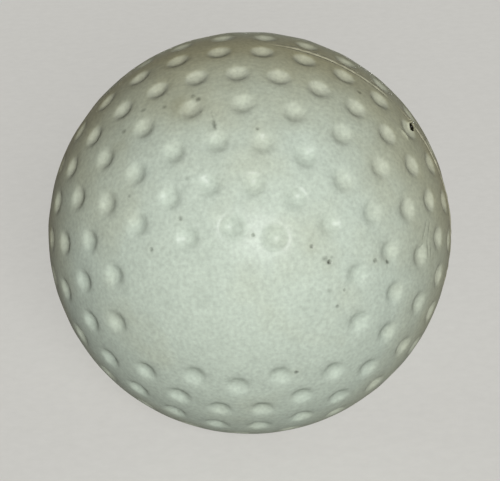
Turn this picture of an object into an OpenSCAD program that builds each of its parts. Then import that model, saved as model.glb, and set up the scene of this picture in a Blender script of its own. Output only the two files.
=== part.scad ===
// Field hockey ball: a dimpled cover of two moulded cups over a quilted core of cork and twine.
// The origin is the ball's centre. The smooth panel faces -Y with its long side along X,
// and the seam between the cups lies in the XZ plane.

/* [Ball] */
// Diameter of the ball over its cover
ball_d = 73; // [71.3:0.1:74.8]

/* [Cover] */
// Wall of the moulded cover
cover_wall = 5; // [4:0.1:7]
// Width of the weld that joins the two cups
weld_w = 1; // [0.4:0.05:1.2]
// Height of the weld's bead above the cover
bead_h = 0.2; // [0.05:0.01:0.3]

/* [Gate scar] */
// Width of the pit that the moulding gate left beside the seam
gate_d = 1.5; // [1:0.1:2.6]
// Depth of the pit
gate_depth = 1; // [0.3:0.1:1.5]
// Place of the pit along the seam, in degrees up from +X
gate_turn = 35; // [0:1:359]
// Distance of the pit's middle from the seam, towards the front cup
gate_offset = 1.4; // [0:0.1:2.5]

/* [Dimples] */
// Width of a dimple's bowl
bowl_d = 3.6; // [2.4:0.1:4]
// Depth of a dimple at its middle
bowl_depth = 0.8; // [0.3:0.05:0.9]
// Width of the softened rim around the bowl
rim_w = 0.6; // [0.3:0.05:0.7]
// How far the rim falls from the cover to the bowl's edge
rim_drop = 0.15; // [0.06:0.01:0.18]
// Angle from one ring of dimples to the next, seen from the ball's centre
ring_step = 12; // [11:0.1:12.5]
// Turn of the two middle rings about the mould's axis, in degrees
middle_turn = -2.4; // [-8:0.1:8]

/* [Smooth panel] */
// Turn about the mould's axis from one dimple to the next, in the row nearest the panel
inner_row_turn = 30; // [26:0.5:36]
// The same turn in the row outside that one
outer_row_turn = 20; // [18:0.5:21]
// Turn from the panel's middle line to the dimples that close its two ends
end_turn = 12; // [10:0.5:16]

/* [Core] */
// Thickness of the bonding skin under the cover
skin_t = 0.4; // [0.2:0.05:1]
// Thickness of each layer of wound twine
twine_t = 3.8; // [2:0.1:4.5]
// Thickness of the cork strips under each winding
cork_t = 1.9; // [1:0.1:2.5]
// Width of a cork strip at its middle
strip_w = 14; // [8:0.5:20]
// Gap between neighbouring cork strips at their middle
strip_gap = 0.4; // [0.2:0.05:1]
// Width of the opening that the ends of the strips leave between them
strip_eye_d = 3; // [2:0.1:6]
// Clearance between one layer and the next
layer_gap = 0.05; // [0.02:0.01:0.1]

/* [Hidden] */
$fn = 72;
ball_r = ball_d / 2;

// Windings in the core, each over a wrap of cork strips
quilts = 3;

// Layers, from the cover inwards: the nucleus takes the room that the wraps leave
cover_inner_r = ball_r - cover_wall;
skin_r = cover_inner_r - layer_gap;
core_r = skin_r - skin_t - layer_gap;
quilt_t = cork_t + twine_t + 2 * layer_gap;
nucleus_r = core_r - quilts * quilt_t;

function twine_r(i) = core_r - (quilts - i) * quilt_t;
function cork_r(i) = twine_r(i) - twine_t - layer_gap;
function strip_count(i) = round(2 * PI * cork_r(i) / strip_w);
function strip_gap_turn(i) = strip_gap / cork_r(i) * 180 / PI;

// The first ring of dimples stands half a step off the seam, and the rest follow up to the panel
function ring_polar(k) = 90 - ring_step * (k + 0.5);

// Azimuths of a whole ring, of a row centred above or below the panel, and of the pairs at its ends
function ring(count, turn) = [for (i = [0 : count - 1]) turn + i * 360 / count];
function row(count, turn) = [
    for (middle = [90, 270], i = [0 : count - 1]) middle + (i - (count - 1) / 2) * turn
];
function end_pairs(turn) = [for (end = [0, 180], side = [-1, 1]) end + side * turn];

// Dimples in each whole ring of the two pairs of rings, and in each row above and below the panel
seam_ring_count = 30;
middle_ring_count = 22;
outer_row_count = 6;
inner_row_count = 3;
function half_pitch(count) = 180 / count;

// Rings from the seam to the panel; the second ring of a pair is staggered against the first
ring_azimuths = [
    ring(seam_ring_count, 0),
    ring(seam_ring_count, half_pitch(seam_ring_count)),
    ring(middle_ring_count, middle_turn + half_pitch(middle_ring_count)),
    ring(middle_ring_count, middle_turn),
    concat(row(outer_row_count, outer_row_turn), end_pairs(end_turn)),
    row(inner_row_count, inner_row_turn)
];

// Every dimple of a cup, as its angle from the mould's axis and its azimuth
dimple_places = [
    for (k = [0 : len(ring_azimuths) - 1], az = ring_azimuths[k]) [ring_polar(k), az]
];

// A dimple's section: the rim meets the cover at rim_r, the bowl meets the rim at bowl_r
bowl_r = bowl_d / 2;
rim_r = bowl_r + rim_w;
function cover_z(r) = sqrt(ball_r * ball_r - r * r);
rim_z = cover_z(rim_r);
bowl_z = cover_z(bowl_r) - rim_drop;
bottom_z = ball_r - bowl_depth;
cut_top = ball_r + rim_drop;

// Height and radius of the sphere on an axis through two circles about that axis
function sphere_z(r1, z1, r2, z2) = (r1 * r1 + z1 * z1 - r2 * r2 - z2 * z2) / (2 * (z1 - z2));
function sphere_r(r1, z1, z) = sqrt(r1 * r1 + (z1 - z) * (z1 - z));
rim_sphere_z = sphere_z(rim_r, rim_z, bowl_r, bowl_z);
rim_sphere_r = sphere_r(rim_r, rim_z, rim_sphere_z);
bowl_sphere_z = sphere_z(bowl_r, bowl_z, 0, bottom_z);
bowl_sphere_r = sphere_r(bowl_r, bowl_z, bowl_sphere_z);

// The bead's top is an arc across the weld that starts and ends at the cover
bead_r = (weld_w * weld_w / 4 + bead_h * bead_h) / (2 * bead_h);
bead_middle_r = ball_r + bead_h - bead_r;

// The gate's pit is a ball-nosed hollow, cut out of each piece that it reaches
gate_r = gate_d / 2;

cover_colour = "#d3d6c8";
weld_colour = "#dcdccb";
skin_colour = "#c9b37a";
twine_colour = "#e4dcc6";
cork_colour = "#b58a5a";
nucleus_colour = "#6d4a33";

module shell(outer_r, wall) {
    difference() {
        sphere(r = outer_r);
        sphere(r = outer_r - wall);
    }
}

// The room that one dimple takes out of the cover, on the +Z axis
module dimple() {
    rotate_extrude()
    intersection() {
        union() {
            translate([0, rim_sphere_z]) circle(r = rim_sphere_r);
            translate([0, bowl_sphere_z]) circle(r = bowl_sphere_r);
        }
        translate([0, bottom_z - bowl_depth]) square([ball_r, cut_top - bottom_z + bowl_depth]);
    }
}

// One moulded cup, its rim half a weld above the XY plane and its smooth panel at the top
module cup() {
    difference() {
        shell(ball_r, cover_wall);
        translate([-ball_d, -ball_d, weld_w / 2 - 2 * ball_d]) cube(2 * ball_d);
        for (place = dimple_places) rotate([0, place[0], place[1]]) dimple();
    }
}

module gate_pit() {
    rotate([0, -gate_turn, 0])
    translate([ball_r - gate_depth + gate_r, -gate_offset, 0])
    rotate([0, 90, 0]) {
        sphere(r = gate_r);
        cylinder(r = gate_r, h = gate_depth);
    }
}

module front_cover() {
    color(cover_colour)
    difference() {
        rotate([90, 0, 0]) cup();
        gate_pit();
    }
}

module rear_cover() {
    color(cover_colour)
    difference() {
        rotate([-90, 0, 0]) cup();
        gate_pit();
    }
}

// A flat ring between the rims of the cups, with a low round bead that stands above the cover
module seam_weld() {
    color(weld_colour)
    difference() {
        rotate([90, 0, 0])
        rotate_extrude() {
            translate([cover_inner_r, -weld_w / 2]) square([bead_middle_r - cover_inner_r, weld_w]);
            intersection() {
                translate([bead_middle_r, 0]) circle(r = bead_r);
                translate([cover_inner_r, -weld_w / 2]) square([cover_wall + bead_h, weld_w]);
            }
        }
        gate_pit();
    }
}

module bonding_skin() {
    color(skin_colour) shell(skin_r, skin_t);
}

module twine_winding(i) {
    color(twine_colour) shell(twine_r(i), twine_t);
}

// Boat-shaped strips side by side; each wrap lies across the one below it
module cork_wrap(i) {
    turn = 360 / strip_count(i);
    color(cork_colour)
    rotate([0, 90 * (i - 1), 0])
    for (s = [1 : strip_count(i)])
    rotate([0, 0, s * turn])
    rotate_extrude(angle = turn - strip_gap_turn(i))
    difference() {
        circle(r = cork_r(i));
        circle(r = cork_r(i) - cork_t);
        translate([strip_eye_d / 2 - ball_d, -ball_r]) square(ball_d);
    }
}

module nucleus() {
    color(nucleus_colour) sphere(r = nucleus_r);
}

nucleus();
for (i = [1 : quilts]) {
    cork_wrap(i);
    twine_winding(i);
}
bonding_skin();
front_cover();
rear_cover();
seam_weld();
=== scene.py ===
# %% [markdown]
# # A field hockey ball, cell by cell
#
# The ball is a dimpled polyurethane cover, moulded as two cups that are bonded along a seam, over a
# quilted core of cork strips and wound twine. Its solids come packed as a fixed frame. These cells give
# the ball its looks: soft-rimmed dimples, an uneven seam, the small marks of play, and a finish for
# every layer. Shapes are worked out in millimetres, and become metres when a mesh is made.

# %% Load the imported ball
import math

import bmesh
import bpy
import numpy as np
from mathutils import Matrix
from mathutils.geometry import delaunay_2d_cdt
from mathutils.kdtree import KDTree


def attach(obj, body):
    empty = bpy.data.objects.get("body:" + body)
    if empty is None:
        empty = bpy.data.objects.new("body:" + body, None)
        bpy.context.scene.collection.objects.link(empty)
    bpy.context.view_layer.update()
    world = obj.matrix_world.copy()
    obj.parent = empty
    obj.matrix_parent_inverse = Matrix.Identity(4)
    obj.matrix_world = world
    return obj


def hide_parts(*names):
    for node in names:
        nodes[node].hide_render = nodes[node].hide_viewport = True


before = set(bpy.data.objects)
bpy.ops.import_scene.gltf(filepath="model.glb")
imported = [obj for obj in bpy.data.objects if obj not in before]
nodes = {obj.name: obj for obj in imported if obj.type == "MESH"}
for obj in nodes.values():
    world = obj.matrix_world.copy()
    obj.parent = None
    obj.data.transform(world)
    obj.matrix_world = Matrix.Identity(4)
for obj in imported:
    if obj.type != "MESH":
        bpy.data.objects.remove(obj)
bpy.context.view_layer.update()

print("nodes in the frame:", ", ".join(sorted(nodes)))

# %% [markdown]
# ## Sizes from the frame
#
# The solids already hold the real sizes, so they are measured here and not written again: the radius of
# the cover, of its inside and of the seam's bead, and the half width of the weld between the cups.

# %% Measure the layers
MM = 0.001


def corners(node):
    """The corners of a solid's mesh, in mm."""
    mesh = nodes[node].data
    flat = np.empty(3 * len(mesh.vertices))
    mesh.vertices.foreach_get("co", flat)
    return flat.reshape(-1, 3) / MM


cover_reach = np.linalg.norm(corners("front_cover"), axis=1)
BALL_R = cover_reach.max()
INNER_R = cover_reach.min()
BEAD_R = np.linalg.norm(corners("seam_weld"), axis=1).max()
HALF_WELD = -corners("front_cover")[:, 1].max()
print(f"cover {BALL_R:.2f} mm, inside {INNER_R:.2f} mm, bead {BEAD_R:.2f} mm, half weld {HALF_WELD:.2f} mm")

# %% [markdown]
# ## The camera
#
# The photograph was taken with a long view from a little above the smooth panel. Its dimples gave the
# viewing angle: the camera stands a little to the right of the moulds' axis and is tilted very slightly.
# The lens follows from the distance and from the ball's outline in the picture. A small shift puts
# the ball's middle where the photograph has it. The same numbers turn a pixel of the photograph into a
# place on the ball, which later cells use to set each mark where it belongs.

# %% Camera at the photograph's viewing angle
IMAGE_W, IMAGE_H = 500, 481
BALL_PX = (249.5, 232.8)
OUTLINE_R_PX = 201.2
VIEW_AZIMUTH, VIEW_ELEVATION, VIEW_ROLL = 5.2, 22.5, 2.2
VIEW_DISTANCE = 493.0
SENSOR_W = 36.0
CLIP_START = 0.01


def towards(azimuth, elevation):
    """Unit vector from the ball to a place in the studio. Azimuth 0 is the front, and 90 the right."""
    a, e = math.radians(azimuth), math.radians(elevation)
    return np.array([math.sin(a) * math.cos(e), -math.cos(a) * math.cos(e), math.sin(e)])


back = towards(VIEW_AZIMUTH, VIEW_ELEVATION)
level_right = towards(VIEW_AZIMUTH + 90, 0)
level_up = np.cross(back, level_right)
roll = math.radians(VIEW_ROLL)
right = level_right * math.cos(roll) - level_up * math.sin(roll)
up = np.cross(back, right)
eye = back * VIEW_DISTANCE
focal_px = OUTLINE_R_PX * math.sqrt(VIEW_DISTANCE**2 - BALL_R**2) / BALL_R

camera_data = bpy.data.cameras.new("camera")
camera_data.sensor_width = SENSOR_W
camera_data.lens = SENSOR_W * focal_px / IMAGE_W
camera_data.shift_x = (IMAGE_W / 2 - BALL_PX[0]) / IMAGE_W
camera_data.shift_y = (BALL_PX[1] - IMAGE_H / 2) / IMAGE_W
camera_data.clip_start = CLIP_START
camera = bpy.data.objects.new("camera", camera_data)
camera.matrix_world = Matrix.Translation(eye * MM) @ Matrix(np.column_stack([right, up, back])).to_4x4()
bpy.context.scene.collection.objects.link(camera)
bpy.context.scene.camera = camera


def on_ball(pixel):
    """Unit vector to the point of the ball that the camera sees at a pixel of the photograph."""
    ray = right * (pixel[0] - BALL_PX[0]) - up * (pixel[1] - BALL_PX[1]) - back * focal_px
    ray /= np.linalg.norm(ray)
    along = -ray @ eye
    depth = math.sqrt(along**2 - VIEW_DISTANCE**2 + BALL_R**2)
    return (eye + (along - depth) * ray) / BALL_R


print(f"lens {camera_data.lens:.0f} mm; the picture's middle of the ball is {on_ball(BALL_PX).round(3)}")

# %% [markdown]
# ## Where the dimples are
#
# A mould maker sets dimples out by rings around the mould's axis. Two staggered rings of 30 lie next to
# the seam, two of 22 follow, and short rows above and below leave the smooth panel free, with a pair of
# dimples at each of its ends. The cover's solid has these dimples cut by the same rule. The second cell
# below checks that: every hollow of the solid away from the seam lies in one of these dimples.

# %% Dimple layout
RING_STEP = 12.0
SEAM_RING_COUNT = 30
MIDDLE_RING_COUNT = 22
MIDDLE_TURN = -2.4
OUTER_ROW_COUNT, OUTER_ROW_TURN = 6, 20.0
INNER_ROW_COUNT, INNER_ROW_TURN = 3, 30.0
END_TURN = 12.0


def ring(count, turn):
    """Azimuths of a whole ring of dimples, in degrees."""
    return turn + np.arange(count) * 360 / count


def row(count, turn):
    """Azimuths of a row of dimples above the panel and of one below it, in degrees."""
    steps = (np.arange(count) - (count - 1) / 2) * turn
    return np.concatenate([90 + steps, 270 + steps])


def around_axis(polar, azimuth):
    """Unit vectors at an angle from the front mould's axis and an azimuth around it, both in radians."""
    return np.stack(
        [np.sin(polar) * np.cos(azimuth), -np.cos(polar) + 0 * azimuth, np.sin(polar) * np.sin(azimuth)],
        axis=-1,
    )


end_pairs = [-END_TURN, END_TURN, 180 - END_TURN, 180 + END_TURN]
ring_azimuths = [
    ring(SEAM_RING_COUNT, 0),
    ring(SEAM_RING_COUNT, 180 / SEAM_RING_COUNT),
    ring(MIDDLE_RING_COUNT, MIDDLE_TURN + 180 / MIDDLE_RING_COUNT),
    ring(MIDDLE_RING_COUNT, MIDDLE_TURN),
    np.concatenate([row(OUTER_ROW_COUNT, OUTER_ROW_TURN), end_pairs]),
    row(INNER_ROW_COUNT, INNER_ROW_TURN),
]
front_dimples = np.concatenate(
    [
        around_axis(np.radians(90 - RING_STEP * (k + 0.5)), np.radians(azimuths))
        for k, azimuths in enumerate(ring_azimuths)
    ]
)
print(f"dimples in the rings from the seam to the panel: {[len(azimuths) for azimuths in ring_azimuths]}")

# %% Check the layout against the solids
HOLLOW_DEPTH = 0.3
INSIDE_MARGIN = 1.0
SEAM_MARGIN = 2.5

# The rear cup is the front one turned over about the panel's long side
TURN_OVER = np.array([1, -1, -1])
CUP_TURN = {"front_cover": 1, "rear_cover": TURN_OVER}
dimples = {cover: front_dimples * turn for cover, turn in CUP_TURN.items()}

for cover, middles in dimples.items():
    solid = corners(cover)
    reach = np.linalg.norm(solid, axis=1)
    hollow = (reach < BALL_R - HOLLOW_DEPTH) & (reach > INNER_R + INSIDE_MARGIN)
    hollow &= np.abs(solid[:, 1]) > SEAM_MARGIN
    ways = solid[hollow] / reach[hollow, None]
    off = np.arccos(np.clip(ways @ middles.T, -1, 1)).min(axis=1).max() * BALL_R
    print(f"{cover}: {len(middles)} dimples; the solid's hollows lie within {off:.2f} mm of their middles")

# %% [markdown]
# ## Marks of play
#
# A ball that has been played with is not perfect. It has pits where grit was driven in, smudges, a
# short cut, rubbed streaks, and a torn pit beside the seam where the mould was filled, with a small
# raised tab above it and a burr below. The marks that can be seen are set by their pixel in the
# photograph. A pit has a width and a depth in mm and a share of dirt, and so has a line. A line of
# negative depth stands up. A smudge has no depth, and a stain has a width and a strength.

# %% Marks that can be seen
PIT_PX = {
    "large grit pit": ((329.5, 262), 1.1, 0.25, 0.85),
    "pit above it": ((311.5, 246.5), 0.95, 0.12, 0.5),
    "speck on the panel's top edge": ((253, 235), 0.75, 0.1, 0.4),
    "speck under the end dimple": ((344.5, 290), 0.75, 0.08, 0.42),
    "speck below it": ((337.5, 306.5), 0.85, 0.08, 0.38),
    "left of a pair at the right": ((375.5, 260.5), 1.1, 0.12, 0.55),
    "right of that pair": ((388.5, 262), 0.95, 0.12, 0.62),
    "pit by a lower dimple": ((296.5, 372.5), 1.0, 0.12, 0.55),
    "speck in the upper middle": ((257.5, 128), 0.85, 0.1, 0.5),
    "speck at the left": ((151, 249.5), 1.05, 0.1, 0.42),
    "speck left of the middle": ((180, 218.5), 1.2, 0.1, 0.3),
    "speck by an upper dimple": ((359.5, 92), 1.1, 0.1, 0.6),
}
SMUDGE_PX = {
    "beside the large pit": ((325, 259), 1.3, 0.45),
    "above the large pit": ((331.5, 257.5), 0.8, 0.25),
    "left of the panel": ((129.5, 196), 0.9, 0.27),
    "upper left, outer": ((124, 131.5), 1.3, 0.45),
    "upper left, middle": ((143.5, 110), 1.3, 0.45),
    "upper left, inner": ((164.5, 106.5), 1.3, 0.35),
    "over an upper dimple": ((193, 96), 1.2, 0.45),
    "right of that one": ((198, 99), 1.3, 0.5),
    "under that one": ((201, 111), 0.9, 0.3),
    "above the end dimples": ((187, 178), 1.2, 0.25),
    "faint one beside it": ((170, 168), 1.6, 0.15),
    "by the right end dimple": ((329.5, 290.5), 1.2, 0.2),
}
CUT, SCRATCH, STREAK = (0.6, 0.14, 0.6), (0.4, 0.05, 0.3), (0.45, 0.08, 0.2)
BURR, TAB = (0.6, -0.3, 0.0), (0.8, -0.35, 0.0)
LINE_PX = [
    ((212.6, 118.5), (215.3, 130), CUT),
    ((210.8, 111), (212.6, 118.5), SCRATCH),
    ((426.5, 221), (422.5, 241), STREAK),
    ((424, 243), (421.5, 249), STREAK),
    ((427.5, 240), (428.5, 257), STREAK),
    ((431.5, 242), (431, 259), STREAK),
    ((430, 222), (428, 236), STREAK),
    ((401, 129.5), (408.5, 139), BURR),
    ((409, 119), (411, 124), TAB),
]
STAIN_PX = {"rubbed patch": ((181, 104), 6.5, 1.0), "lighter patch": ((121, 140), 8.0, 0.55)}

pits = [(on_ball(pixel), *form) for pixel, *form in PIT_PX.values()]
smudges = [(on_ball(pixel), *form) for pixel, *form in SMUDGE_PX.values()]
lines = [(on_ball(start), on_ball(end), *form) for start, end, form in LINE_PX]
stains = [(on_ball(pixel), *form) for pixel, *form in STAIN_PX.values()]
print(f"in front: {len(pits)} pits, {len(smudges)} smudges, {len(lines)} lines, {len(stains)} stains")

# %% [markdown]
# The back can't be seen in the photograph. It gets a few marks of the same kinds, from a fixed seed, with
# angles from its mould's axis in radians. The torn pit lies beside the seam at the place where the solids
# have it.

# %% Marks at the back, and the torn pit
REAR_PITS, REAR_PIT_POLAR = 12, (0.2, 1.5)
REAR_PIT_W, REAR_PIT_DEPTH, REAR_PIT_DIRT = (0.5, 0.8), (0.1, 0.2), (0.4, 0.7)
REAR_CUTS, REAR_CUT_POLAR = 3, (0.4, 1.3)
REAR_CUT, REAR_CUT_RUN = (0.5, 0.1, 0.6), 0.1
REAR_STAIN_W, REAR_STAIN_LEVEL = (6, 9), 0.7
GATE_TURN = 35.0
GATE_OFFSET = 1.5

rng = np.random.default_rng(seed=11)
full_turn = (0, 2 * math.pi)
for polar, azimuth in zip(rng.uniform(*REAR_PIT_POLAR, REAR_PITS), rng.uniform(*full_turn, REAR_PITS)):
    place = around_axis(polar, azimuth) * TURN_OVER
    form = [rng.uniform(*span) for span in (REAR_PIT_W, REAR_PIT_DEPTH, REAR_PIT_DIRT)]
    pits.append((place, *form))
rear_cuts = around_axis(rng.uniform(*REAR_CUT_POLAR, REAR_CUTS), rng.uniform(*full_turn, REAR_CUTS))
for place in rear_cuts * TURN_OVER:
    stains.append((place, rng.uniform(*REAR_STAIN_W), REAR_STAIN_LEVEL))
    aside = np.cross(place, rng.normal(size=3))
    lines.append((place, place + REAR_CUT_RUN * aside / np.linalg.norm(aside), *REAR_CUT))

gate_turn = math.radians(GATE_TURN)
gate = np.array([math.cos(gate_turn), -GATE_OFFSET / BALL_R, math.sin(gate_turn)])
gate /= np.linalg.norm(gate)
along_seam = np.array([-math.sin(gate_turn), 0, math.cos(gate_turn)])
print(f"in all: {len(pits)} pits, {len(smudges)} smudges, {len(lines)} lines, {len(stains)} stains")

# %% [markdown]
# ## The relief of the dimples
#
# All shape on the cover is a height over the ball's sphere, so functions of direction can give it. A
# dimple is a shallow bowl whose rim is rounded over: a smooth minimum of a parabola and the sphere does
# both at once. Two shares go with it for the finish, and both are painted light: a paler bowl, which is a
# painted highlight, and a darker ring along its rim, which is painted shade.

# %% Dimples
BOWL_R = 2.0
BOWL_DEPTH = 0.8
RIM_SOFTNESS = 0.36
# The paler bowl is a painted highlight and the darker ring on the rim is painted shade; sizes in mm
BOWL_HIGHLIGHT_R, BOWL_HIGHLIGHT_FADE = 2.3, 0.5
RIM_SHADE_R, RIM_SHADE_W = 2.45, 0.35

all_dimples = np.concatenate(list(dimples.values()))


def from_dimple(points):
    """Distance of each point over the ball, in mm, to the middle of its nearest dimple."""
    return BALL_R * np.arccos(np.clip((points @ all_dimples.T).max(axis=1), -1, 1))


def dimple_height(points):
    """Height of the dimples, in mm: a bowl whose rim is rounded over."""
    bowl = BOWL_DEPTH * (1 - (from_dimple(points) / BOWL_R) ** 2)
    return -0.5 * (bowl + np.sqrt(bowl**2 + RIM_SOFTNESS**2))


def dimple_painted_light(points):
    """Two shares from 0 to 1: a paler bowl as a painted highlight, and a darker rim as painted shade."""
    off = from_dimple(points)
    return np.clip((BOWL_HIGHLIGHT_R - off) / BOWL_HIGHLIGHT_FADE, 0, 1), np.exp(-(((off - RIM_SHADE_R) / RIM_SHADE_W) ** 2))


print(f"a dimple is {-dimple_height(front_dimples[:1])[0]:.2f} mm deep at its middle")

# %% [markdown]
# ## The relief of the marks
#
# A pit is a hollow with a slight lip, because the cover is soft enough to be pushed up around it. A cut
# is a soft groove that runs out at its ends. The torn pit beside the seam has steep walls and an uneven
# edge, and its lip stands up on the side of the seam. Lips are placed in radii of their pit. Each
# mark also says how much dirt it holds. The torn pit is painted almost black inside: dirt, and painted
# shade for the shadow in the hole.

# %% Marks
PIT_EDGE, PIT_DIRT_EDGE = 1.5, 0.7
PIT_LIP_AT, PIT_LIP_W, PIT_LIP_H = 1.3, 0.4, 0.12
LINE_SOFTNESS, LINE_END = 0.42, 0.02
GATE_ALONG, GATE_ACROSS, GATE_DEPTH, GATE_EDGE = 1.25, 1.7, 1.0, 0.6
GATE_LIP_AT, GATE_LIP_W, GATE_LIP_H, GATE_LIP_TURN = 1.35, 0.25, 0.28, 0.9
# The torn pit is darkened fast and fully: dirt, and painted shade for the shadow in its hole
GATE_DIRT_AND_SHADE_RISE, GATE_DIRT_AND_SHADE = 8, 2
TORN_WAVES = [(2, 0.12, 0.6), (3, 0.1, 2)]
FAR_AWAY = 99


def arc(points, middle):
    """Distances over the ball, in mm, from many directions to one."""
    return BALL_R * np.arccos(np.clip(points @ middle, -1, 1))


def pit_shape(points, middle, width):
    """The hollow of a pit, from 0 to 1, and the lip around it."""
    off = arc(points, middle) / (width / 2)
    lip = np.exp(-(((off - PIT_LIP_AT) / PIT_LIP_W) ** 2))
    return np.clip(1 - off**2, 0, 1) ** PIT_EDGE, lip


def line_shape(points, start, end, width):
    """The groove of a line, from 0 to 1, deepest at its middle."""
    run = (end - start) * BALL_R
    share = np.clip((points - start) @ run * BALL_R / (run @ run), 0, 1)
    off = np.linalg.norm((points - start) * BALL_R - share[:, None] * run, axis=1)
    along = np.sqrt(np.sin(math.pi * np.clip(share, LINE_END, 1 - LINE_END)))
    return np.exp(-((off / (LINE_SOFTNESS * width)) ** 2)) * along


def gate_shape(points):
    """The hollow of the torn pit, from 0 to 1, and its lip, which stands up towards the seam."""
    across = points[:, 1] * BALL_R + GATE_OFFSET
    along = points @ along_seam * BALL_R
    turn = np.arctan2(across, along)
    torn = 1 + sum(share * np.sin(count * turn + start) for count, share, start in TORN_WAVES)
    off = np.hypot(across / (GATE_ACROSS / 2), along / (GATE_ALONG / 2)) / torn
    off[points @ gate < 0] = FAR_AWAY
    lip = np.exp(-(((off - GATE_LIP_AT) / GATE_LIP_W) ** 2)) * (0.5 + 0.5 * np.cos(turn - GATE_LIP_TURN))
    return np.clip(1 - off**2, 0, 1) ** GATE_EDGE, lip


def marks(points):
    """Height of the marks in mm, and how much dirt they hold. The torn pit holds the most, partly painted
    shade.
    """
    height = np.zeros(len(points))
    dirt = np.zeros(len(points))
    for middle, width, depth, dirty in pits:
        hollow, lip = pit_shape(points, middle, width)
        height += depth * (PIT_LIP_H * lip - hollow)
        dirt = np.maximum(dirt, dirty * hollow**PIT_DIRT_EDGE)
    for middle, width, dirty in smudges:
        dirt = np.maximum(dirt, dirty * pit_shape(points, middle, width)[0])
    for start, end, width, depth, dirty in lines:
        groove = line_shape(points, start, end, width)
        height -= depth * groove
        dirt = np.maximum(dirt, dirty * groove)
    # The torn pit's darkness is dirt and painted shade for the shadow in its hole
    hollow, lip = gate_shape(points)
    height += GATE_LIP_H * lip - GATE_DEPTH * hollow
    dirt = np.maximum(dirt, np.clip(GATE_DIRT_AND_SHADE_RISE * hollow, 0, GATE_DIRT_AND_SHADE))
    return height, dirt


print(f"the torn pit beside the seam is {-marks(gate[None])[0][0]:.2f} mm deep")

# %% [markdown]
# ## The seam, the ripple and the whole relief
#
# The two cups are bonded under pressure, and a thin line of cover material squeezes out between them. It
# is trimmed by hand, so its height wanders, and on some stretches it is flush. Beside it the cover is
# slightly raised, with a fine groove at the line's foot that holds dirt and is darkened as painted shade
# too. A very low ripple, as moulded plastic has, keeps the reflections from being perfect.

# %% Seam and ripple
SHOULDER_W, SHOULDER_H = 0.5, 0.06
GROOVE_W, GROOVE_DEPTH = 0.38, 0.08
FLUSH_STRETCHES = [(80, 176), (222, 251), (304, 318), (38.5, 47)]
FLUSH_FADE = 1.6
BEAD_UNEVEN = 0.8
RIPPLE_H = 0.036
RIPPLE_L = 9.0
RIPPLE_WAVES = 14

wave_rng = np.random.default_rng(seed=5)
wave_axes = wave_rng.normal(size=(RIPPLE_WAVES, 3))
wave_axes *= 2 * math.pi / RIPPLE_L / np.linalg.norm(wave_axes, axis=1, keepdims=True)
wave_starts = wave_rng.uniform(0, 2 * math.pi, RIPPLE_WAVES)
seam_waves = np.array([17, 41, 67, 101, 131])
seam_starts = wave_rng.uniform(0, 2 * math.pi, len(seam_waves))


def ripple(points):
    """Height of the moulded skin's ripple, in mm: the mean of waves in many directions."""
    return RIPPLE_H * np.sin(points @ wave_axes.T * BALL_R + wave_starts).mean(axis=1)


def seam_share(points):
    """How proud the seam stands near each point, from 0 where it was trimmed flush to 1."""
    turn = np.degrees(np.arctan2(points[:, 2], points[:, 0])) % 360
    waves = np.sin(np.radians(turn[:, None] * seam_waves) + seam_starts).mean(axis=1)
    share = 1 - BEAD_UNEVEN * (0.5 + 0.5 * waves)
    for start, end in FLUSH_STRETCHES:
        outside = np.abs(turn - (start + end) / 2) - (end - start) / 2
        share *= 1 / (1 + np.exp(-outside / FLUSH_FADE))
    return share


def cover_relief(points):
    """Height of the cover over the sphere in mm, its dirt and painted shade, and how far the seam has raised
    it.
    """
    height, dirt = marks(points)
    from_rim = np.abs(points[:, 1]) * BALL_R - HALF_WELD
    proud = seam_share(points)
    groove = proud * np.exp(-((from_rim / GROOVE_W) ** 2))
    raised = proud * np.exp(-((from_rim / SHOULDER_W) ** 2))
    height += SHOULDER_H * raised - GROOVE_DEPTH * groove + dimple_height(points) + ripple(points)
    # The groove's darkening is dirt and painted shade along the seam's foot
    return height, np.maximum(dirt, groove), raised


proud_shares = seam_share(around_axis(math.pi / 2, np.radians(np.arange(360))))
print(f"on average the seam stands at {proud_shares.mean():.0%} of its full height")

# %% [markdown]
# ## Points where the shape needs them
#
# A sphere with even squares would spend most of its faces on plain ground. Here points are set in
# circles around each dimple and pit, in rows along the rim and the lines, and in an even spiral over
# the ground between.

# %% Patterns of points
RIM_SIDES = 480
LAND_STEP = 0.9
MARK_STEP = 0.11
LINE_MIN_STEPS = 4
LINE_OFFSETS = (-0.9, -0.5, -0.2, 0.2, 0.5, 0.9)

# Circles are turned by this direction, which no dimple or mark points along
SLANT = (0.3, 0.8, 0.5)


def circles(middle, radii, sides):
    """A direction and circles of directions around it, each turned by half a side from the last."""
    aside = np.cross(middle, SLANT)
    aside /= np.linalg.norm(aside)
    other = np.cross(middle, aside)
    found = [middle]
    for k, radius in enumerate(radii):
        angle = radius / BALL_R
        for side in range(sides):
            turn = 2 * math.pi * (side + 0.5 * (k % 2)) / sides
            rim = math.cos(turn) * aside + math.sin(turn) * other
            found.append(math.cos(angle) * middle + math.sin(angle) * rim)
    return np.array(found)


def strip(start, end, width):
    """Rows of directions along a line and beside it."""
    steps = max(LINE_MIN_STEPS, round(np.linalg.norm(end - start) * BALL_R / (2 * MARK_STEP)))
    aside = np.cross(start, end - start)
    aside *= width / BALL_R / np.linalg.norm(aside)
    found = [
        start + (end - start) * step / steps + aside * offset
        for step in range(-1, steps + 2)
        for offset in LINE_OFFSETS
    ]
    return np.array(found) / np.linalg.norm(found, axis=1, keepdims=True)


def spiral(step):
    """An even spread of directions over the front half, about step mm apart."""
    count = round(2 * math.pi * BALL_R**2 / (step**2 * math.sqrt(0.75)))
    place = np.arange(count) + 0.5
    return around_axis(np.arccos(1 - place / count), place * math.pi * (3 - math.sqrt(5)))


def rim_row(from_rim):
    """A row of directions along the front cup's rim, so many mm inside it."""
    polar = math.acos((HALF_WELD + from_rim) / BALL_R)
    return around_axis(polar, np.arange(RIM_SIDES) * 2 * math.pi / RIM_SIDES)


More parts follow.
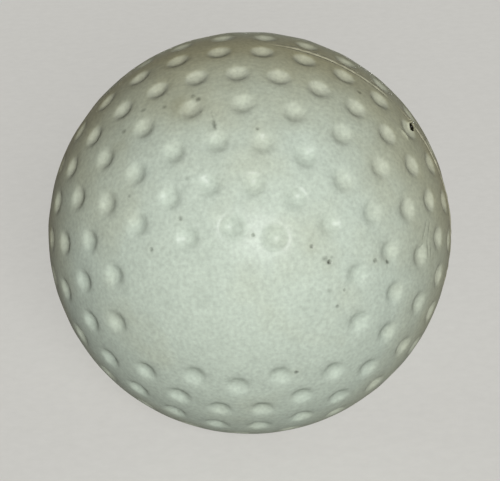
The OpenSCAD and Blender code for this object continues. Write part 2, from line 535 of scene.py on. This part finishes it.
print(f"{len(spiral(LAND_STEP))} points would cover the ground of one cup")

# %% [markdown]
# Points that crowd each other would make slivers. So the rim comes first, then the marks, the dimples
# and the ground, and each new point keeps a gap, in mm, to those already there.

# %% Points of one cup
DIMPLE_RINGS = [0.35, 0.7, 1.0, 1.25, 1.45, 1.62, 1.78, 1.94, 2.1, 2.3, 2.55, 2.85]
DIMPLE_SIDES = 28
PIT_RINGS, PIT_SIDES = 5, 12
GATE_RINGS, GATE_SIDES, GATE_STEP = 16, 32, 0.8
RIM_ROWS = [0, 0.06, 0.14, 0.24, 0.4, 0.65, 1.0]
RIM_GAP, MARK_GAP, DIMPLE_GAP, LAND_GAP = 0.1, 0.04, 0.07, 0.5


def clear_of(points, taken, gap):
    """The points that lie at least gap mm from all those taken."""
    tree = KDTree(len(taken))
    for index, place in enumerate(taken):
        tree.insert(place, index)
    tree.balance()
    return points[[tree.find(place)[2] * BALL_R >= gap for place in points]]


def cup_points(cover):
    """Directions over one cup's outside. The rim's own row comes first."""
    points = np.concatenate([rim_row(from_rim) for from_rim in RIM_ROWS]) * CUP_TURN[cover]
    edge = HALF_WELD + RIM_ROWS[-1] + RIM_GAP
    marked = [
        circles(middle, np.arange(1, PIT_RINGS + 1) * width / (PIT_RINGS + 1), PIT_SIDES)
        for middle, width, *rest in pits + smudges
    ]
    marked += [strip(start, end, width) for start, end, width, *rest in lines]
    marked.append(circles(gate, np.arange(1, GATE_RINGS + 1) * GATE_STEP * MARK_STEP, GATE_SIDES))
    bowls = [circles(middle, DIMPLE_RINGS, DIMPLE_SIDES) for middle in dimples[cover]]
    for added, from_seam, gap in (
        (marked, HALF_WELD + MARK_GAP, MARK_GAP),
        (bowls, edge, DIMPLE_GAP),
        ([spiral(LAND_STEP) * CUP_TURN[cover]], edge, LAND_GAP),
    ):
        added = np.concatenate(added)
        added = added[added[:, 1] * dimples[cover][-1, 1] > 0]
        added = added[np.abs(added[:, 1]) * BALL_R > from_seam]
        points = np.concatenate([points, clear_of(added, points, gap)])
    return points


print(f"{DIMPLE_SIDES * len(DIMPLE_RINGS)} points for each dimple, {RIM_SIDES * len(RIM_ROWS)} for the rim")

# %% [markdown]
# ## From points to a mesh
#
# A flat map of the half ball that keeps circles round, the stereographic one, lets Blender's Delaunay
# triangulation join all the points without folds or slivers. A mesh is shaded smooth, and only its
# sharpest edges stay sharp. Numbers that the finish needs, such as the dirt, are kept on the mesh as
# attributes.

# %% Mesh helpers
SHARP_ANGLE = math.radians(55)
INSIDE_OF_RIM, MERGE_GAP = 1, 1e-9


def triangles(points):
    """Delaunay triangles of directions on one half ball, whose first row is its rim."""
    flat = points[:, [0, 2]] / (1 + np.abs(points[:, 1:2]))
    rim = [(side, (side + 1) % RIM_SIDES) for side in range(RIM_SIDES)]
    faces, origins = delaunay_2d_cdt(flat.tolist(), rim, [], INSIDE_OF_RIM, MERGE_GAP)[2:4]
    return [[origins[corner][0] for corner in face] for face in faces]


def new_object(name, places, faces):
    """A smooth-shaded piece from places in mm, with its faces turned outwards."""
    mesh = bpy.data.meshes.new(name)
    mesh.from_pydata((np.asarray(places) * MM).tolist(), [], faces)
    work = bmesh.new()
    work.from_mesh(mesh)
    bmesh.ops.recalc_face_normals(work, faces=work.faces)
    work.to_mesh(mesh)
    work.free()
    mesh.shade_smooth()
    mesh.set_sharp_from_angle(angle=SHARP_ANGLE)
    piece = bpy.data.objects.new(name, mesh)
    bpy.context.scene.collection.objects.link(piece)
    return piece


def store(piece, **shares):
    """Keeps one number for each vertex under each name. Vertices past the end of a list get 0."""
    for name, values in shares.items():
        kept = np.zeros(len(piece.data.vertices), dtype=np.float32)
        kept[: len(values)] = values
        piece.data.attributes.new(name, "FLOAT", "POINT").data.foreach_set("value", kept)


def open_edges(piece):
    """Number of edges that don't lie between exactly two faces, which is 0 for a closed piece."""
    work = bmesh.new()
    work.from_mesh(piece.data)
    count = sum(not edge.is_manifold for edge in work.edges)
    work.free()
    return count


print(f"edges sharper than {math.degrees(SHARP_ANGLE):.0f} degrees stay sharp")

# %% [markdown]
# ## The two cups
#
# Each cup is one closed wall: the outside with its relief, a plain inside, and a flat rim between. The
# dirt with its painted shade, the stains, the raised shoulders of the seam, and the dimples' painted
# highlight in the bowls and painted shade on the rims are stored on it. The material reads them later, so
# that dirt and painted shade always lie in the hollow they belong to.

# %% Make the cups
INNER_STEP = 2.0
HALO_LEVEL = 0.8


def stain_level(points):
    """How stained each point is: by the stains themselves, and by a halo around each dirty pit."""
    level = np.zeros(len(points))
    for middle, width, strength in stains:
        level += strength * np.exp(-((arc(points, middle) / (width / 2)) ** 2))
    for middle, width, depth, dirty in pits:
        level += HALO_LEVEL * dirty * np.exp(-((arc(points, middle) / width) ** 2))
    return level


def make_cup(cover):
    """A closed cup in place of the cover's solid, with its wear and painted light and shade stored on it."""
    outside = cup_points(cover)
    height, dirt, raised = cover_relief(outside)
    bowl, grime = dimple_painted_light(outside)
    inner_rim = outside[:RIM_SIDES] * [INNER_R, BALL_R, INNER_R]
    inner_land = spiral(INNER_STEP) * CUP_TURN[cover]
    inner_land = inner_land[np.abs(inner_land[:, 1]) * INNER_R > HALF_WELD + INNER_STEP / 2]
    inside = np.concatenate([inner_rim / np.linalg.norm(inner_rim, axis=1, keepdims=True), inner_land])
    first = len(outside)
    faces = triangles(outside)
    faces += [[corner + first for corner in face] for face in triangles(inside)]
    for corner in range(RIM_SIDES):
        after = (corner + 1) % RIM_SIDES
        faces.append([corner, after, first + after, first + corner])
    places = np.concatenate([outside * (BALL_R + height)[:, None], inside * INNER_R])
    piece = new_object(cover + "_moulding", places, faces)
    store(piece, dirt=dirt, stain=stain_level(outside), raised=raised, bowl=bowl, grime=grime)
    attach(piece, "root")
    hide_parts(cover)
    print(f"{piece.name}: {len(places)} points, {len(faces)} faces, {open_edges(piece)} open edges")
    return piece


front_moulding = make_cup("front_cover")
rear_moulding = make_cup("rear_cover")

# %% [markdown]
# ## The weld
#
# The weld is a ring that follows the seam, with a round top of changing height, so that it stands proud on
# some stretches and is flush on others. A plain lathe would make it the same all round. Marks and dimples
# that reach over the seam go on across it.

# %% Make the weld
WELD_SIDES = 1440
WELD_TOP_POINTS = 9
BEAD_H = BEAD_R - BALL_R
WELD_FOOT_H = SHOULDER_H - GROOVE_DEPTH

weld_turns = np.arange(WELD_SIDES) * 2 * math.pi / WELD_SIDES
seam = np.stack([np.cos(weld_turns), np.zeros(WELD_SIDES), np.sin(weld_turns)], axis=1)
bead_share = seam_share(seam)
weld_rows = [seam * INNER_R - [0, HALF_WELD, 0]]
weld_dirt = [np.zeros(WELD_SIDES)]
for side in np.linspace(-1, 1, WELD_TOP_POINTS):
    beside = seam + [0, side * HALF_WELD / BALL_R, 0]
    mark_height, mark_dirt = marks(beside)
    crown = bead_share * (WELD_FOOT_H + (BEAD_H - WELD_FOOT_H) * (1 - side**2))
    crown += mark_height + dimple_height(beside) + ripple(beside)
    weld_rows.append(seam * (BALL_R + crown)[:, None] + [0, side * HALF_WELD, 0])
    weld_dirt.append(mark_dirt)
weld_rows.append(seam * INNER_R + [0, HALF_WELD, 0])

weld_faces = []
for line in range(len(weld_rows)):
    here = line * WELD_SIDES + np.arange(WELD_SIDES)
    there = (line + 1) % len(weld_rows) * WELD_SIDES + np.arange(WELD_SIDES)
    weld_faces += np.stack([here, np.roll(here, -1), np.roll(there, -1), there], axis=1).tolist()
weld_bead = new_object("seam_weld_bead", np.concatenate(weld_rows), weld_faces)
weld_raised = np.tile(bead_share, len(weld_rows))
store(weld_bead, dirt=np.concatenate(weld_dirt), stain=[], raised=weld_raised, bowl=[], grime=[])
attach(weld_bead, "root")
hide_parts("seam_weld")
print(f"seam_weld_bead: {len(weld_faces)} faces, {open_edges(weld_bead)} open edges")

# %% [markdown]
# ## Helpers for finishes
#
# Every finish below is a small network of shader nodes. One function adds a node, sets its options, and
# fills its inputs with a value or with a link. Colours are written as sRGB hex values, as a paint chart
# gives them, and one function turns them into the linear values that Blender works with. The size
# of a pattern is written in millimetres. A mix node has separate sockets for numbers and for colours,
# which share their names, so they are picked by their place.

# %% Helpers
MIX_FACTOR, MIX_A, MIX_B = 0, 6, 7
MIX_COLOUR = 2
MIX_NUMBER_A, MIX_NUMBER_B = 2, 3
MIX_NUMBER = 0


def linear(hex_colour):
    """An sRGB hex colour as linear red, green, blue and alpha."""
    levels = [int(hex_colour[place : place + 2], 16) / 255 for place in (1, 3, 5)]
    return [c / 12.92 if c <= 0.04045 else ((c + 0.055) / 1.055) ** 2.4 for c in levels] + [1]


def per_metre(size_mm):
    """Scale of a pattern whose features are this many millimetres apart."""
    return 1 / (size_mm * MM)


def add(tree, kind, inputs, **settings):
    """Adds a node with its settings, and fills its inputs with values or links. Returns its outputs."""
    made = tree.nodes.new("ShaderNode" + kind)
    for name, value in settings.items():
        setattr(made, name, value)
    for socket, value in inputs.items():
        if isinstance(value, bpy.types.NodeSocket):
            tree.links.new(value, made.inputs[socket])
        else:
            made.inputs[socket].default_value = value
    return made.outputs


def new_finish(name):
    """An empty material, its node tree, and the place on the object in metres."""
    finish = bpy.data.materials.new(name)
    finish.use_nodes = True
    finish.node_tree.nodes.clear()
    return finish, finish.node_tree, add(finish.node_tree, "TexCoord", {})["Object"]


def put_on(finish, *pieces):
    """Gives the pieces one finish in place of what they had."""
    for piece in pieces:
        piece.data.materials.clear()
        piece.data.materials.append(finish)
    print(f"{finish.name}: on {', '.join(piece.name for piece in pieces)}")


print("a mid grey of #808080 is", round(linear("#808080")[0], 3), "in linear light")

# %% [markdown]
# ## Compression-moulded polyurethane
#
# The cover is cast polyurethane, pigmented off-white and pressed in a polished mould. It starts glossy,
# and play scuffs it to a satin. About a quarter of the skin still shines, more in some small patches than
# in others, and the rest is matt: a clear coat of that weight over a base without gloss gives both.
# To the eye it is a pale, slightly green grey on the two panels, and it is more yellow in the band beside
# the seam, where it was handled and where the weather got in. Towards the seam the band is also darker,
# which is painted shade. The bowls of the dimples there are painted paler, a painted highlight, and a
# darker ring along their rims is painted shade. A fine mottle breaks up the colour where the skin is
# worn. The raised seam is rubbed paler, and its paler colour is also a painted highlight along the ridge.
# Dirt sits in the hollows that the mesh has marked. In the torn pit and in the seam's groove that
# darkness is also painted shade.

# %% Cover finish
# The band and the darkest dirt are partly painted shade, and the seam's rub is partly a painted highlight
# The paler bowl colour is a painted highlight, and the rim colour is painted shade.
CLEAN, YELLOWED_AND_SHADED, RUBBED_AND_HIGHLIT, BOWL_HIGHLIGHT = "#c4d0c2", "#b5b393", "#dad9c6", "#cfd5c5"
RIM_SHADE, STAIN, SPECK, DIRT_AND_SHADE = "#55502f", "#7c7550", "#6d6a55", "#1e1b12"
RUB_AND_HIGHLIGHT_LEVEL, BOWL_HIGHLIGHT_LEVEL, RIM_SHADE_LEVEL, STAIN_LEVEL, SPECK_LEVEL = 0.45, 0.4, 0.12, 0.38, 0.16

# The band starts at this share of the radius from the seam, and the painted highlight in the bowls is full
# from this share of yellow
BAND_START, BOWL_HIGHLIGHT_FROM = 0.68, 0.6

# Sizes of the patterns in mm, and the ranges that the usual span of their noise is turned into
DRIFT_MM, WORN_MM, MOTTLE_MM, GRAIN_MM, SPECK_MM = 16, 3.5, 0.7, 0.45, 7
NOISE_LOW, NOISE_HIGH = 0.3, 0.7
DRIFT_RANGE, WORN_RANGE, MOTTLE_RANGE = (-0.2, 0.2), (0.96, 1.03), (0.89, 1.1)
BREAK_RANGE, GLOSS_RANGE = (1.3, 0.6), (0.28, 0.18)
PATCH_LOW, PATCH_HIGH, PATCH_LEAST = 0.35, 0.65, 0.15
SPECK_CORE, SPECK_EDGE = 0.02, 0.07
GRAIN_H = 0.02


def moulded_polyurethane(name):
    """Off-white polyurethane from a polished mould, scuffed to a satin and marked by play."""
    finish, tree, place = new_finish(name)
    dirt, stain, raised, bowl, grime = [
        add(tree, "Attribute", {}, attribute_name=share)["Fac"]
        for share in ("dirt", "stain", "raised", "bowl", "grime")
    ]
    drift, worn, mottle, grain = [
        add(tree, "TexNoise", {"Vector": place, "Scale": per_metre(size), "Detail": detail})["Fac"]
        for size, detail in ((DRIFT_MM, 3), (WORN_MM, 5), (MOTTLE_MM, 4), (GRAIN_MM, 2))
    ]
    specks = add(tree, "TexVoronoi", {"Vector": place, "Scale": per_metre(SPECK_MM), "Randomness": 1})
    drifted, worn_shade, mottle_shade, broken, gloss = [
        add(
            tree,
            "MapRange",
            {"Value": noise, "From Min": NOISE_LOW, "From Max": NOISE_HIGH, "To Min": low, "To Max": high},
        )["Result"]
        for noise, (low, high) in (
            (drift, DRIFT_RANGE),
            (worn, WORN_RANGE),
            (mottle, MOTTLE_RANGE),
            (mottle, BREAK_RANGE),
            (worn, GLOSS_RANGE),
        )
    ]

    # The yellow band beside the seam, with an edge that wanders. Its darkening is partly painted shade
    along_axis = add(tree, "SeparateXYZ", {"Vector": place})["Y"]
    along_axis = add(tree, "Math", {0: along_axis}, operation="ABSOLUTE")["Value"]
    band = add(
        tree, "MapRange", {"Value": along_axis, "From Min": BAND_START * BALL_R * MM, "From Max": 0.0}
    )["Result"]
    band = add(tree, "Math", {0: band, 1: drifted}, operation="ADD", use_clamp=True)["Value"]

    # The ground: yellowed in the band, with painted shade towards the seam. A painted highlight in the
    # bowls, painted shade along their rims, and on the seam rub with a painted highlight
    bowl_highlight = add(
        tree, "MapRange", {"Value": band, "From Max": BOWL_HIGHLIGHT_FROM, "To Max": BOWL_HIGHLIGHT_LEVEL}
    )["Result"]
    bowl_highlight = add(tree, "Math", {0: bowl, 1: bowl_highlight}, operation="MULTIPLY")["Value"]
    rim_shaded = add(tree, "Math", {0: band, 1: RIM_SHADE_LEVEL}, operation="MULTIPLY")["Value"]
    rim_shaded = add(tree, "Math", {0: grime, 1: rim_shaded}, operation="MULTIPLY")["Value"]
    # The seam's paler colour is rub, and also a painted highlight along its ridge
    rubbed_and_highlit = add(tree, "Math", {0: raised, 1: RUB_AND_HIGHLIGHT_LEVEL}, operation="MULTIPLY")["Value"]
    colour = linear(CLEAN)
    for share, layer in ((band, YELLOWED_AND_SHADED), (bowl_highlight, BOWL_HIGHLIGHT), (rim_shaded, RIM_SHADE), (rubbed_and_highlit, RUBBED_AND_HIGHLIT)):
        colour = add(
            tree, "Mix", {MIX_FACTOR: share, MIX_A: colour, MIX_B: linear(layer)}, data_type="RGBA"
        )[MIX_COLOUR]
    shade = add(tree, "Math", {0: worn_shade, 1: mottle_shade}, operation="MULTIPLY")["Value"]
    colour = add(
        tree, "Mix", {MIX_FACTOR: 1.0, MIX_A: colour, MIX_B: shade}, data_type="RGBA", blend_type="MULTIPLY"
    )[MIX_COLOUR]

    # What lies over it: stains in patches, fine specks, and dirt with painted shade that the mottle breaks
    # up
    patch_span = {"From Min": PATCH_LOW, "From Max": PATCH_HIGH, "To Min": PATCH_LEAST}
    patchy = add(tree, "MapRange", {"Value": worn, **patch_span})["Result"]
    stained = add(tree, "Math", {0: stain, 1: patchy}, operation="MULTIPLY")["Value"]
    stained = add(tree, "Math", {0: stained, 1: STAIN_LEVEL}, operation="MULTIPLY")["Value"]
    speck_span = {"From Min": SPECK_CORE, "From Max": SPECK_EDGE, "To Min": SPECK_LEVEL, "To Max": 0.0}
    specked = add(tree, "MapRange", {"Value": specks["Distance"], **speck_span})["Result"]
    dirty = add(tree, "Math", {0: dirt, 1: broken}, operation="MULTIPLY", use_clamp=True)["Value"]
    for share, layer in ((stained, STAIN), (specked, SPECK), (dirty, DIRT_AND_SHADE)):
        colour = add(
            tree, "Mix", {MIX_FACTOR: share, MIX_A: colour, MIX_B: linear(layer)}, data_type="RGBA"
        )[MIX_COLOUR]

    bump = add(tree, "Bump", {"Height": grain, "Strength": 0.5, "Distance": GRAIN_H * MM})["Normal"]
    shader = add(
        tree,
        "BsdfPrincipled",
        {
            "Base Color": colour,
            "Roughness": 0.45,
            "Normal": bump,
            "IOR": 1.5,
            "Specular IOR Level": 0.0,
            "Coat Weight": gloss,
            "Coat Roughness": 0.3,
        },
    )["BSDF"]
    add(tree, "OutputMaterial", {"Surface": shader})
    return finish


put_on(moulded_polyurethane("satin moulded polyurethane"), front_moulding, rear_moulding)
put_on(moulded_polyurethane("trimmed polyurethane flash"), weld_bead)

# %% [markdown]
# ## The layers inside
#
# The core is hidden in the finished ball, and its finishes matter when the layers are taken apart. The
# bonding skin is a dipped latex coat, dull yellow and blotchy where it dried unevenly. The windings are
# worsted twine: cream threads that lie side by side, and cross in patches. The strips are cut cork, with
# brown grains in a paler ground. The nucleus is a moulded mix of dark cork crumb and rubber. Each takes
# its pattern from the size of its grain or thread.

# %% Inner finishes
LAY_THREADS = 12
LAY_LOW, LAY_HIGH = 0.46, 0.54
TWINE_RELIEF = 0.3

# A wave texture turns through this many radians per unit of its scale
WAVE_RATE = 20


def crumb(name, light, dark, grain_mm, roughness, relief_mm):
    """A finish of grains of two tones, as cork, crumb rubber or a rough coat has."""
    finish, tree, place = new_finish(name)
    grains = add(tree, "TexVoronoi", {"Vector": place, "Scale": per_metre(grain_mm)})
    drift = add(tree, "TexNoise", {"Vector": place, "Scale": per_metre(3 * grain_mm), "Detail": 4})["Fac"]
    tone = add(tree, "SeparateColor", {"Color": grains["Color"]})["Red"]
    tone = add(tree, "Math", {0: tone, 1: drift}, operation="MULTIPLY")["Value"]
    colour = add(
        tree, "Mix", {MIX_FACTOR: tone, MIX_A: linear(light), MIX_B: linear(dark)}, data_type="RGBA"
    )[MIX_COLOUR]
    bump = add(
        tree, "Bump", {"Height": grains["Distance"], "Strength": 0.6, "Distance": relief_mm * MM}
    )["Normal"]
    shader = add(
        tree, "BsdfPrincipled", {"Base Color": colour, "Roughness": roughness, "Normal": bump}
    )["BSDF"]
    add(tree, "OutputMaterial", {"Surface": shader})
    return finish


def wound_twine(name, light, dark, thread_mm):
    """Threads that run one way in some patches and across it in others, as a wound ball of yarn shows."""
    finish, tree, place = new_finish(name)
    scale = per_metre(thread_mm) * 2 * math.pi / WAVE_RATE
    threads = [
        add(
            tree,
            "TexWave",
            {"Vector": place, "Scale": scale, "Distortion": 3.0, "Detail": 2, "Detail Scale": 0.25},
            bands_direction=axis,
        )["Fac"]
        for axis in ("X", "Z")
    ]
    lay = add(tree, "TexNoise", {"Vector": place, "Scale": per_metre(LAY_THREADS * thread_mm)})["Fac"]
    lay = add(tree, "MapRange", {"Value": lay, "From Min": LAY_LOW, "From Max": LAY_HIGH})["Result"]
    height = add(
        tree, "Mix", {MIX_FACTOR: lay, MIX_NUMBER_A: threads[0], MIX_NUMBER_B: threads[1]}, data_type="FLOAT"
    )[MIX_NUMBER]
    # Colour follows the threads' height, so the gaps between threads are darker: painted shade
    colour = add(
        tree, "Mix", {MIX_FACTOR: height, MIX_A: linear(dark), MIX_B: linear(light)}, data_type="RGBA"
    )[MIX_COLOUR]
    bump = add(tree, "Bump", {"Height": height, "Strength": 1.0, "Distance": TWINE_RELIEF * MM})["Normal"]
    shader = add(
        tree,
        "BsdfPrincipled",
        {"Base Color": colour, "Roughness": 0.85, "Normal": bump, "Sheen Weight": 0.3},
    )["BSDF"]
    add(tree, "OutputMaterial", {"Surface": shader})
    return finish


latex = crumb("dipped latex", "#d2bd86", "#b39a5c", grain_mm=2.5, roughness=0.6, relief_mm=0.05)
twine = wound_twine("wound worsted twine", "#ece4cf", "#b7a98a", thread_mm=0.9)
cork = crumb("cut cork", "#c69a68", "#7d5530", grain_mm=1.2, roughness=0.8, relief_mm=0.1)
rubber = crumb("moulded cork and rubber", "#8a5f40", "#3b2418", grain_mm=1.5, roughness=0.7, relief_mm=0.08)
put_on(latex, nodes["bonding_skin"])
put_on(twine, *[nodes[f"twine_winding_{i}"] for i in (1, 2, 3)])
put_on(cork, *[nodes[f"cork_wrap_{i}"] for i in (1, 2, 3)])
put_on(rubber, nodes["nucleus"])

# %% [markdown]
# ## The floor
#
# The ball stands on a plain pale floor of studio paper. The camera and reflections see it pale, and
# the light that it sends back up to the ball is that of a greyer paper, which lifts the underside without
# flattening the form.

# %% Floor
FLOOR_HALF = 3.0
PAPER, PAPER_LIGHT, PAPER_BOUNCE = "#dcdbd6", "#e4e3de", "#8c8a84"
PAPER_MM = 2
SEEN_SHARE = 0.6


def seen(tree):
    """1 for rays by which the camera sees a surface, directly or in a reflection, and 0 for other light."""
    path = add(tree, "LightPath", {})
    found = path["Is Camera Ray"]
    for kind in ("Is Glossy Ray", "Is Transmission Ray"):
        found = add(tree, "Math", {0: found, 1: path[kind]}, operation="MAXIMUM")["Value"]
    return found


floor = new_object(
    "floor",
    np.array([[-1, -1, 0], [1, -1, 0], [1, 1, 0], [-1, 1, 0]]) * FLOOR_HALF / MM - [0, 0, BEAD_R],
    [[0, 1, 2, 3]],
)
floor_finish, tree, place = new_finish("matt studio paper")
paper = add(tree, "TexNoise", {"Vector": place, "Scale": per_metre(PAPER_MM), "Detail": 3})["Fac"]
shade = add(
    tree, "Mix", {MIX_FACTOR: paper, MIX_A: linear(PAPER), MIX_B: linear(PAPER_LIGHT)}, data_type="RGBA"
)[MIX_COLOUR]
lit = add(tree, "BsdfDiffuse", {"Color": shade})["BSDF"]
glow = add(tree, "Emission", {"Color": shade})["Emission"]
pale = add(tree, "MixShader", {0: SEEN_SHARE, 1: lit, 2: glow})["Shader"]
bounce = add(tree, "BsdfDiffuse", {"Color": linear(PAPER_BOUNCE)})["BSDF"]
surface = add(tree, "MixShader", {0: seen(tree), 1: bounce, 2: pale})["Shader"]
add(tree, "OutputMaterial", {"Surface": surface})
put_on(floor_finish, floor)

# %% [markdown]
# ## Light
#
# One soft lamp stands beside the camera, a little to its right, so that each dimple shows a bright outer
# wall and a darker inner wall. A weak, slightly warm fill from the whole room keeps the far edges from
# going black. Together they light the ball at a level where a colour that faces the lamp comes out about
# as it was written. A second lamp is a low strip on the floor behind the ball. It shows the back when the
# ball is looked at from there, and hardly reaches the front.

# %% Lamps and room
KEY_TURN, KEY_RISE = 5.0, -1.5
KEY_DISTANCE, KEY_SIZE, KEY_LEVEL = 2.0, (0.6, 0.6), 1.0
REAR_TURN, REAR_RISE = 180.0, 0.6
REAR_DISTANCE, REAR_SIZE, REAR_LEVEL = 0.9, (0.6, 0.09), 0.8
FILL, FILL_LEVEL = "#ffd9b3", 0.025


def add_lamp(name, azimuth, elevation, distance, size, level):
    """A lamp that faces the ball. At a level of 1, a surface that faces it renders as it was written."""
    lamp_data = bpy.data.lights.new(name, "AREA")
    lamp_data.shape = "RECTANGLE"
    lamp_data.size, lamp_data.size_y = size
    lamp_data.energy = level * (math.pi * distance) ** 2
    lamp = bpy.data.objects.new(name, lamp_data)
    away = towards(azimuth, elevation)
    side = towards(azimuth + 90, 0)
    axes = Matrix(np.column_stack([side, np.cross(away, side), away]))
    lamp.matrix_world = Matrix.Translation(away * distance) @ axes.to_4x4()
    bpy.context.scene.collection.objects.link(lamp)
    print(f"{name}: {lamp_data.energy:.1f} W at {distance} m")
    return lamp


add_lamp("key", VIEW_AZIMUTH + KEY_TURN, VIEW_ELEVATION + KEY_RISE, KEY_DISTANCE, KEY_SIZE, KEY_LEVEL)
rear = add_lamp("rear", VIEW_AZIMUTH + REAR_TURN, REAR_RISE, REAR_DISTANCE, REAR_SIZE, REAR_LEVEL)
rear.visible_glossy = False

world = bpy.data.worlds.new("room")
world.use_nodes = True
tree = world.node_tree
tree.nodes.clear()
fill = add(tree, "Background", {"Color": linear(FILL), "Strength": FILL_LEVEL})["Background"]
wall = add(tree, "Background", {"Color": linear(PAPER), "Strength": SEEN_SHARE})["Background"]
room = add(tree, "MixShader", {0: seen(tree), 1: fill, 2: wall})["Shader"]
add(tree, "OutputWorld", {"Surface": room})
bpy.context.scene.world = world
bpy.context.scene.view_settings.view_transform = "Standard"
print(f"fill {FILL_LEVEL}, floor and walls seen at {SEEN_SHARE}")
